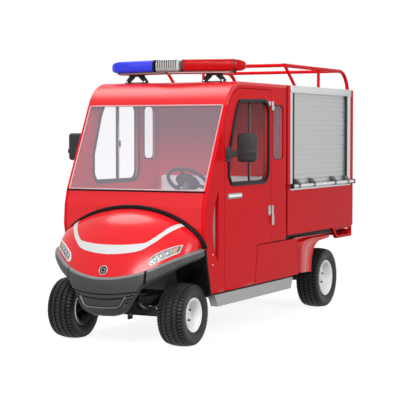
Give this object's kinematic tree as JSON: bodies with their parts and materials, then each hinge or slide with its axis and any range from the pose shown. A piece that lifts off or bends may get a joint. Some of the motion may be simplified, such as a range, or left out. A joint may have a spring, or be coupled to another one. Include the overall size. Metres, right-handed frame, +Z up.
{
  "type": "fire truck",
  "caption": "Small electric fire truck: narrow cab with hinged doors, load box with roller shutters, roof rack, light bar and steered front wheels.",
  "frame": {"origin": "on the ground under the middle of the overall length and width", "axes": "+Z up, the nose points along -Y, the driver's left side is +X"},
  "size_m": [1.628, 3.484, 2.103],
  "materials": {
    "red_paint": "gloss",
    "frame_black": "satin",
    "axle_iron": "matte",
    "spring_steel": "satin",
    "battery": "matte",
    "floor_grey": "matte",
    "clear_glass": "gloss",
    "bumper_plastic": "matte",
    "lamp_clear": "gloss",
    "dash_plastic": "matte",
    "bench_vinyl": "satin",
    "shutter_aluminium": "satin",
    "sill_aluminium": "brushed",
    "lens_blue": "gloss",
    "lens_red": "gloss",
    "speaker_white": "gloss",
    "tail_red": "gloss",
    "bright_metal": "polished",
    "black_plastic": "satin",
    "rod_steel": "satin",
    "tyre_rubber": "matte",
    "white_rim": "gloss"
  },
  "bodies": {
    "chassis": {"chassis_frame": "frame_black", "frame_members": "frame_black", "front_axle": "axle_iron", "rear_axle": "axle_iron", "springs": "spring_steel", "battery_pack": "battery", "cab_floor": "floor_grey", "cab_front_panel": "red_paint", "cab_roof": "red_paint", "cab_sides": "red_paint", "cab_back_wall": "red_paint", "cab_glass": "clear_glass", "hood": "red_paint", "front_bumper": "bumper_plastic", "headlamps": "lamp_clear", "dashboard": "dash_plastic", "seat_cushions": "bench_vinyl", "box_floor": "red_paint", "box_sides": "red_paint", "box_roof": "red_paint", "box_ends": "red_paint", "shutter_frames": "shutter_aluminium", "shutter_left_curtain": "shutter_aluminium", "shutter_right_curtain": "shutter_aluminium", "roof_rack": "red_paint", "lightbar_base": "shutter_aluminium", "lightbar_lens_blue": "lens_blue", "lightbar_lens_red": "lens_red", "lightbar_speaker": "speaker_white", "side_sills": "sill_aluminium", "side_pods": "red_paint", "rear_fenders": "red_paint", "rear_bumper": "red_paint", "tail_lamps": "tail_red", "door_hinges": "bright_metal"},
    "door_left": {"door_left_panel": "red_paint", "door_left_glass": "clear_glass", "door_left_fittings": "bright_metal", "door_left_mirror": "black_plastic"},
    "shutter_left": {"shutter_left_bar": "shutter_aluminium"},
    "knuckle_left": {"knuckle_left": "axle_iron"},
    "wheel_front_left": {"wheel_front_left_tyre": "tyre_rubber", "wheel_front_left_rim": "white_rim"},
    "wheel_rear_left": {"wheel_rear_left_tyre": "tyre_rubber", "wheel_rear_left_rim": "white_rim"},
    "door_right": {"door_right_panel": "red_paint", "door_right_glass": "clear_glass", "door_right_fittings": "bright_metal", "door_right_mirror": "black_plastic"},
    "shutter_right": {"shutter_right_bar": "shutter_aluminium"},
    "knuckle_right": {"knuckle_right": "axle_iron"},
    "wheel_front_right": {"wheel_front_right_tyre": "tyre_rubber", "wheel_front_right_rim": "white_rim"},
    "wheel_rear_right": {"wheel_rear_right_tyre": "tyre_rubber", "wheel_rear_right_rim": "white_rim"},
    "steering_wheel": {"steering_wheel": "black_plastic"},
    "tie_rod": {"tie_rod": "rod_steel"}
  },
  "joints": [
    {"name": "door_left_hinge", "type": "hinge", "parent": "chassis", "child": "door_left", "pos_m": [0.612, -0.11, 1.2], "axis": [0, 0, 1], "range_deg": [0, 80]},
    {"name": "door_right_hinge", "type": "hinge", "parent": "chassis", "child": "door_right", "pos_m": [-0.612, -0.11, 1.2], "axis": [0, 0, -1], "range_deg": [0, 80]},
    {"name": "shutter_left_slide", "type": "slide", "parent": "chassis", "child": "shutter_left", "axis": [0, 0, 1], "range_m": [0, 0.7], "deforming": ["shutter_left_curtain"]},
    {"name": "shutter_right_slide", "type": "slide", "parent": "chassis", "child": "shutter_right", "axis": [0, 0, 1], "range_m": [0, 0.7], "deforming": ["shutter_right_curtain"]},
    {"name": "steer_left", "type": "hinge", "parent": "chassis", "child": "knuckle_left", "pos_m": [0.32, -1.362, 0.229], "axis": [0, 0, 1], "range_deg": [-30, 30]},
    {"name": "steer_right", "type": "hinge", "parent": "chassis", "child": "knuckle_right", "pos_m": [-0.32, -1.362, 0.229], "axis": [0, 0, 1], "range_deg": [-30, 30]},
    {"name": "tie_rod_pivot", "type": "hinge", "parent": "knuckle_left", "child": "tie_rod", "pos_m": [0.32, -1.242, 0.221], "axis": [0, 0, 1], "range_deg": [-30, 30]},
    {"name": "steering_wheel_turn", "type": "hinge", "parent": "chassis", "child": "steering_wheel", "pos_m": [0.28, -0.932, 1.17], "axis": [0, 0.6428, 0.766], "range_deg": [-300, 300]},
    {"name": "wheel_front_left_spin", "type": "hinge", "parent": "knuckle_left", "child": "wheel_front_left", "pos_m": [0.462, -1.362, 0.229], "axis": [1, 0, 0], "continuous": true},
    {"name": "wheel_front_right_spin", "type": "hinge", "parent": "knuckle_right", "child": "wheel_front_right", "pos_m": [-0.462, -1.362, 0.229], "axis": [1, 0, 0], "continuous": true},
    {"name": "wheel_rear_left_spin", "type": "hinge", "parent": "chassis", "child": "wheel_rear_left", "pos_m": [0.459, 1.205, 0.26], "axis": [1, 0, 0], "continuous": true},
    {"name": "wheel_rear_right_spin", "type": "hinge", "parent": "chassis", "child": "wheel_rear_right", "pos_m": [-0.459, 1.205, 0.26], "axis": [1, 0, 0], "continuous": true}
  ],
  "couplings": [
    {"joint": "steer_right", "follows": "steer_left", "ratio": 1},
    {"joint": "tie_rod_pivot", "follows": "steer_left", "ratio": -1},
    {"joint": "steering_wheel_turn", "follows": "steer_left", "ratio": 10}
  ]
}
